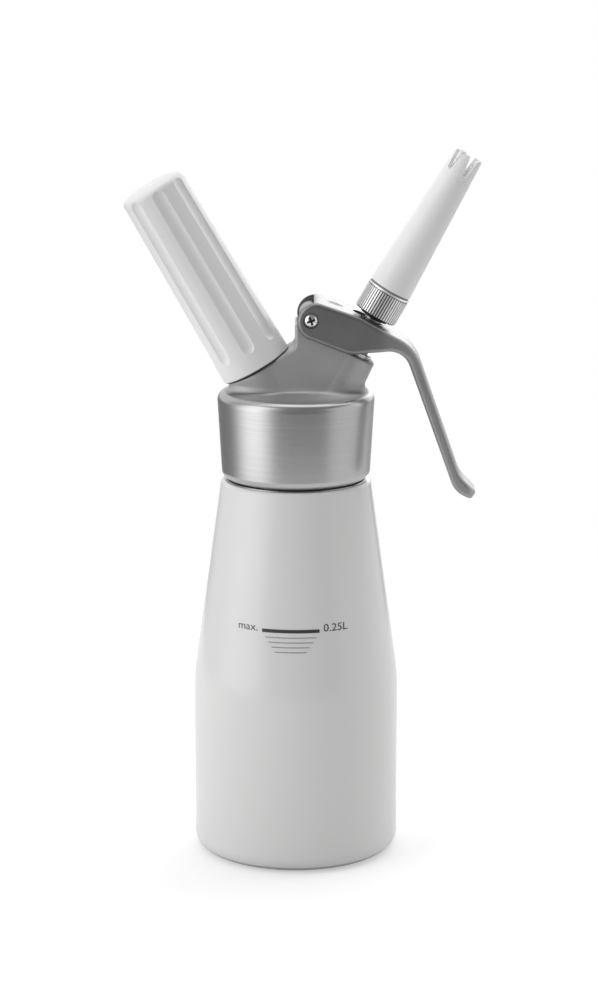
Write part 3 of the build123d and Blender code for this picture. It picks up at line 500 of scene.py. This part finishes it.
def knurled_plating(settings):
    """Bright plating with painted shade down in the knurl's grooves."""
    material, graph = new_material("adapter_plating")
    x, y = graph.parts(graph.place_along(VALVE_ROOT, TILT))[:2]
    radius = from_axis(x, y)
    # Below the knurl's crests the plating is painted dark: painted shade in the grooves.
    groove_shade = 1 - radius.rise(KNURL_ROOT, KNURL_CREST)
    stain = graph.noise(graph.place(), scale=700, detail=3, roughness=0.6)
    plated = graph.varied(stain, settings.metal.plated, 0.95, 1.1)
    graph.surface(
        graph.principled(
            {
                "Base Color": graph.mix(groove_shade, plated, scaled(settings.metal.plated, 0.14)),
                "Metallic": 1.0,
                "Roughness": 0.40 + stain * 0.06,
                "Normal": graph.bump(stain, HAIRLINE, strength=0.3),
            }
        )
    )
    return material


def moulded_plastic(name, colour, roughness, root, lean):
    """Moulded plastic with a faint grain and flow marks along its axis."""
    material, graph = new_material(name)
    x, y, z = graph.parts(graph.place_along(root, lean))
    flow = graph.streaks(x, y, z, across=90, along=18, detail=3, roughness=0.5)
    grain = graph.noise(graph.place(), scale=2200, detail=2, roughness=0.5)
    graph.surface(
        graph.principled(
            {
                "Base Color": graph.varied(flow, colour, 0.975, 1.02),
                "Roughness": roughness + grain * 0.08,
                "Normal": graph.bump(grain, FINE_GRAIN, strength=0.25),
                "IOR": 1.49,
            }
        )
    )
    return material


def seal_rubber(name, colour):
    """Seal rubber with a dusty bloom."""
    material, graph = new_material(name)
    bloom = graph.noise(graph.place(), scale=400, detail=4, roughness=0.6)
    grain = graph.noise(graph.place(), scale=3500, detail=2, roughness=0.6)
    graph.surface(
        graph.principled(
            {
                "Base Color": graph.varied(bloom, colour, 1, 1.9),
                "Roughness": 0.45 + bloom * 0.2,
                "Normal": graph.bump(grain, FINE_GRAIN, strength=0.4),
            }
        )
    )
    return material


def ink_material(name, colour):
    """Printing ink with fine specks."""
    material, graph = new_material(name)
    spots = graph.noise(graph.place(), scale=4000, detail=2, roughness=0.6)
    graph.surface(
        graph.principled(
            {
                "Base Color": graph.varied(spots, colour, 1, 1.35),
                "Roughness": 0.3 + spots * 0.1,
                "Normal": graph.bump(spots, HAIRLINE, strength=0.3),
            }
        )
    )
    return material


# ---------------------------------------------------------------- printed marks
def bottle_radius(height):
    """Outer radius of the bottle at a height."""
    return min(BOTTLE_RADIUS, BOTTLE_RADIUS - (height - CONE_START) * CONE_SLOPE)


def on_bottle(across, height):
    """Point on the front of the bottle, a little proud of the lacquer."""
    radius = bottle_radius(height) + PRINT_LIFT
    angle = across / bottle_radius(height)
    return Vector((radius * math.sin(angle), -radius * math.cos(angle), height))


def print_bar(bm, left, right, low, high):
    """A printed bar that follows the bottle's curve."""
    steps = int((right - left) / BAR_STEP)
    places = [left + (right - left) * step / steps for step in range(steps + 1)]
    below, above = (
        [bm.verts.new(on_bottle(across, height)) for across in places] for height in (low, high)
    )
    for step in range(steps):
        bm.faces.new((below[step], below[step + 1], above[step + 1], above[step]))


def letter_mesh(text, height):
    """Flat mesh of some letters whose capitals have a height."""
    font = bpy.data.curves.new("letters", "FONT")
    font.body = text
    font.size = height / CAPITAL_SHARE
    font.resolution_u = 4
    holder = bpy.data.objects.new("letters", font)
    bpy.context.scene.collection.objects.link(holder)
    bpy.context.view_layer.update()
    depsgraph = bpy.context.evaluated_depsgraph_get()
    flat = bpy.data.meshes.new_from_object(holder.evaluated_get(depsgraph))
    bpy.data.objects.remove(holder)
    return flat


def print_letters(bm, text, left, right, base, height):
    """Letters bent round the bottle between two places."""
    flat = letter_mesh(text, height)
    points = [vertex.co.copy() for vertex in flat.vertices]
    low = min(point.x for point in points)
    width = max(point.x for point in points) - low
    verts = [
        bm.verts.new(on_bottle(left + (point.x - low) / width * (right - left), base + point.y))
        for point in points
    ]
    for polygon in flat.polygons:
        bm.faces.new([verts[index] for index in polygon.vertices])
    bpy.data.meshes.remove(flat)


def printed_piece(name, build, material):
    """A piece of print that rides on the bottle."""
    bm = bmesh.new()
    build(bm)
    piece = new_piece(name, bm, material)
    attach(piece, "bottle")


# ---------------------------------------------------------------- operators
class WHIPPER_OT_bottle(bpy.types.Operator):
    """Lacquer the bottle and print its fill marks"""

    bl_idname = "whipper.bottle"
    bl_label = "Bottle"

    def execute(self, context):
        settings = context.scene.whipper
        dress("bottle", lacquered_metal(settings))
        ink = ink_material("fill_mark_ink", settings.lacquer.ink)
        pale = ink_material("fill_line_ink", settings.lacquer.line_ink)

        def bar(bm):
            print_bar(bm, BAR_LEFT, BAR_RIGHT, FILL_HEIGHT - BAR_THICKNESS, FILL_HEIGHT)

        def lines(bm):
            for number in range(LINE_COUNT):
                high = FILL_HEIGHT - LINE_DROP - LINE_PITCH * number
                inset = LINE_INSET * (number + 1)
                print_bar(bm, BAR_LEFT + inset, BAR_RIGHT - inset, high - LINE_THICKNESS, high)

        def letters(bm):
            base = FILL_HEIGHT - LETTER_BASE
            for word, left, right in WORDS:
                print_letters(bm, word, left, right, base, settings.lacquer.letter_height)

        printed_piece("fill_bar", bar, ink)
        printed_piece("fill_lines", lines, pale)
        printed_piece("fill_letters", letters, ink)
        return {"FINISHED"}


class WHIPPER_OT_head(bpy.types.Operator):
    """Finish the cast head, its charger port and the guide nut"""

    bl_idname = "whipper.head"
    bl_label = "Head"

    def execute(self, context):
        settings = context.scene.whipper
        dress("head_casting", cast_head(settings))
        steel = settings.metal.steel
        port = turned_metal("port_steel", steel, HOLDER_ROOT, -TILT, 0.22)
        for node in ("charger_port", "piercing_pin"):
            dress(node, port)
        dress("stem_guide_nut", turned_metal("nut_steel", steel, VALVE_ROOT, TILT, 0.25))
        return {"FINISHED"}


class WHIPPER_OT_lever(bpy.types.Operator):
    """Finish the lever and its pivot"""

    bl_idname = "whipper.lever"
    bl_label = "Lever"

    def execute(self, context):
        settings = context.scene.whipper
        dress("lever", rubbed_metal(settings))
        pin = screw_steel(settings)
        for node in ("pivot_screw", "pivot_nut"):
            dress(node, pin)
        return {"FINISHED"}


class WHIPPER_OT_valve(bpy.types.Operator):
    """Finish the valve stem, its collar, spring and nozzle adapter"""

    bl_idname = "whipper.valve"
    bl_label = "Valve"

    def execute(self, context):
        settings = context.scene.whipper
        stem = turned_metal("stem_steel", settings.metal.steel, VALVE_ROOT, TILT, 0.2)
        for node in ("valve_stem", "pusher_collar"):
            dress(node, stem)
        dress("nozzle_adapter", knurled_plating(settings))
        self.wind_spring(stem)
        return {"FINISHED"}

    def wind_spring(self, material):
        """A coil in the spring's place: a copy of the spring's mesh riding on the head."""
        mesh = NODES["return_spring"].data.copy()
        mesh.materials.clear()
        mesh.materials.append(material)
        coil = bpy.data.objects.new("spring_coil", mesh)
        bpy.context.scene.collection.objects.link(coil)
        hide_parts("return_spring")
        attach(coil, "head")
        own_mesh(coil)


class WHIPPER_OT_nozzle(bpy.types.Operator):
    """Finish the star nozzle"""

    bl_idname = "whipper.nozzle"
    bl_label = "Nozzle"

    def execute(self, context):
        colour = context.scene.whipper.moulded.nozzle
        dress("star_nozzle", moulded_plastic("nozzle_plastic", colour, 0.34, VALVE_ROOT, TILT))
        return {"FINISHED"}


class WHIPPER_OT_charger(bpy.types.Operator):
    """Finish the gas charger and its holder"""

    bl_idname = "whipper.charger"
    bl_label = "Charger"

    def execute(self, context):
        settings = context.scene.whipper
        steel, plastic = settings.metal.steel, settings.moulded.holder
        dress("gas_charger", turned_metal("charger_steel", steel, HOLDER_ROOT, -TILT, 0.25))
        dress("charger_holder", moulded_plastic("holder_plastic", plastic, 0.26, HOLDER_ROOT, -TILT))
        return {"FINISHED"}


class WHIPPER_OT_seals(bpy.types.Operator):
    """Finish every gasket, seal and washer"""

    bl_idname = "whipper.seals"
    bl_label = "Seals"

    def execute(self, context):
        rubber = seal_rubber("seal_rubber", context.scene.whipper.moulded.rubber)
        for node in (
            "head_gasket",
            "stem_o_ring",
            "check_sleeve",
            "charger_seal",
            "holder_seal",
            "valve_seal",
            "lever_washer",
        ):
            dress(node, rubber)
        grey = context.scene.whipper.moulded.gasket
        dress("nozzle_gasket", seal_rubber("gasket_rubber", grey))
        return {"FINISHED"}


class WHIPPER_OT_studio(bpy.types.Operator):
    """Set up the floor, the room's light and the camera"""

    bl_idname = "whipper.studio"
    bl_label = "Studio"

    def execute(self, context):
        settings = context.scene.whipper.studio
        context.scene.view_settings.view_transform = "Standard"
        self.floor(settings)
        self.room(context.scene, settings)
        self.camera(context.scene, settings)
        return {"FINISHED"}

    def floor(self, settings):
        """A round paper floor that stays white to the camera and keeps shadows."""
        bm = bmesh.new()
        bmesh.ops.create_circle(bm, cap_ends=True, segments=96, radius=FLOOR_RADIUS)
        material, graph = new_material("floor_paper")
        grain = graph.noise(graph.place(), scale=60, detail=3)
        shade = graph.varied(grain, settings.floor, 0.99, 1)
        paper = graph.node("ShaderNodeBsdfDiffuse", None, {"Color": shade})
        glow = graph.node("ShaderNodeEmission", None, {"Color": (1, 1, 1), "Strength": FLOOR_GLOW})
        bright = graph.node("ShaderNodeAddShader", None, {0: paper, 1: glow})
        seen = graph.node("ShaderNodeLightPath", output="Is Camera Ray")
        mirrored = graph.node("ShaderNodeLightPath", output="Is Glossy Ray")
        brightness = seen.most(0.5 * mirrored)
        graph.surface(graph.node("ShaderNodeMixShader", None, {0: brightness, 1: paper, 2: bright}))
        floor = new_piece("floor", bm, material)

    def room(self, scene, settings):
        """A white backdrop to the camera, and the soft boxes' light to all else."""
        world = bpy.data.worlds.new("room")
        scene.world = world
        graph = Graph(world)
        x, y, z = graph.parts(graph.node("ShaderNodeTexCoord", output="Generated"))
        level = self.light_level(x.heading(0 - y), y, z, settings)
        light = graph.node("ShaderNodeBackground", None, {"Color": (1, 1, 1), "Strength": level})
        white = graph.node("ShaderNodeBackground", None, {"Color": (1, 1, 1), "Strength": 1.0})
        seen = graph.node("ShaderNodeLightPath", output="Is Camera Ray")
        shown = graph.node("ShaderNodeMixShader", None, {0: seen, 1: light, 2: white})
        graph.node("ShaderNodeOutputWorld", None, {"Surface": shown})

    def light_level(self, heading, y, z, settings):
        """Light from each direction; heading is 0 to the front and grows to the right."""
        left = heading.rise(-112 * DEGREE, -70 * DEGREE)
        left = left * (1 - heading.rise(-56 * DEGREE, -27 * DEGREE)) * z.band(-0.30, 0.75, soft=0.12)
        left_rim = (1 - heading.rise(-122 * DEGREE, -108 * DEGREE)) * z.band(0.10, 0.70, soft=0.10)
        right = heading.band(58 * DEGREE, 138 * DEGREE, soft=14 * DEGREE)
        right = right * z.band(-0.30, 0.50, soft=0.12)
        right_rim = heading.band(108 * DEGREE, 152 * DEGREE, soft=10 * DEGREE)
        right_rim = right_rim * z.band(0.05, 0.85, soft=0.10)
        behind = heading.rise(152 * DEGREE, 166 * DEGREE)
        behind = behind.most(1 - heading.rise(-172 * DEGREE, -158 * DEGREE))
        back = behind * z.rise(-0.42, -0.28)
        window = heading.rise(150 * DEGREE, 162 * DEGREE) * z.band(0.08, 0.28, soft=0.06)
        overhead = z.rise(0.66, 0.90) * y.rise(-0.40, 0.10)

        level = front = settings.front_level
        for box, brightness in (
            (left, settings.left_level),
            (right, settings.right_level),
            (back, settings.back_level),
        ):
            level = level + box * (brightness - front)
        for box, brightness in (
            (left_rim, settings.left_rim_level),
            (right_rim, settings.right_rim_level),
            (overhead, settings.top_level),
            (window, settings.window_level),
        ):
            level = level.most(box * brightness)
        return level

    def camera(self, scene, settings):
        data = bpy.data.cameras.new("camera")
        data.lens = settings.lens
        data.sensor_width = SENSOR_WIDTH
        data.clip_start = 0.01
        camera = bpy.data.objects.new("camera", data)
        camera.location = CAMERA_PLACE
        camera.rotation_euler = (math.radians(90 - CAMERA_DIP), 0, 0)
        scene.collection.objects.link(camera)
        scene.camera = camera


class WHIPPER_PT_panel(bpy.types.Panel):
    """The whipper's pieces and their colours"""

    bl_label = "Cream Whipper"
    bl_space_type = "VIEW_3D"
    bl_region_type = "UI"
    bl_category = "Whipper"

    def draw(self, context):
        settings = context.scene.whipper
        for group in (settings.lacquer, settings.metal, settings.moulded, settings.studio):
            box = self.layout.box()
            for name in group.__annotations__:
                box.prop(group, name)
        for operator in OPERATORS:
            self.layout.operator(operator.bl_idname)


OPERATORS = (
    WHIPPER_OT_studio,
    WHIPPER_OT_bottle,
    WHIPPER_OT_head,
    WHIPPER_OT_lever,
    WHIPPER_OT_valve,
    WHIPPER_OT_nozzle,
    WHIPPER_OT_charger,
    WHIPPER_OT_seals,
)
CLASSES = (
    LacquerSettings,
    MetalSettings,
    MouldedSettings,
    StudioSettings,
    WhipperSettings,
    *OPERATORS,
    WHIPPER_PT_panel,
)


def register():
    for item in CLASSES:
        bpy.utils.register_class(item)
    bpy.types.Scene.whipper = PointerProperty(type=WhipperSettings)


def unregister():
    del bpy.types.Scene.whipper
    for item in reversed(CLASSES):
        bpy.utils.unregister_class(item)


def main():
    register()
    for operator in OPERATORS:
        group, name = operator.bl_idname.split(".")
        getattr(getattr(bpy.ops, group), name)()


if __name__ == "__main__":
    main()
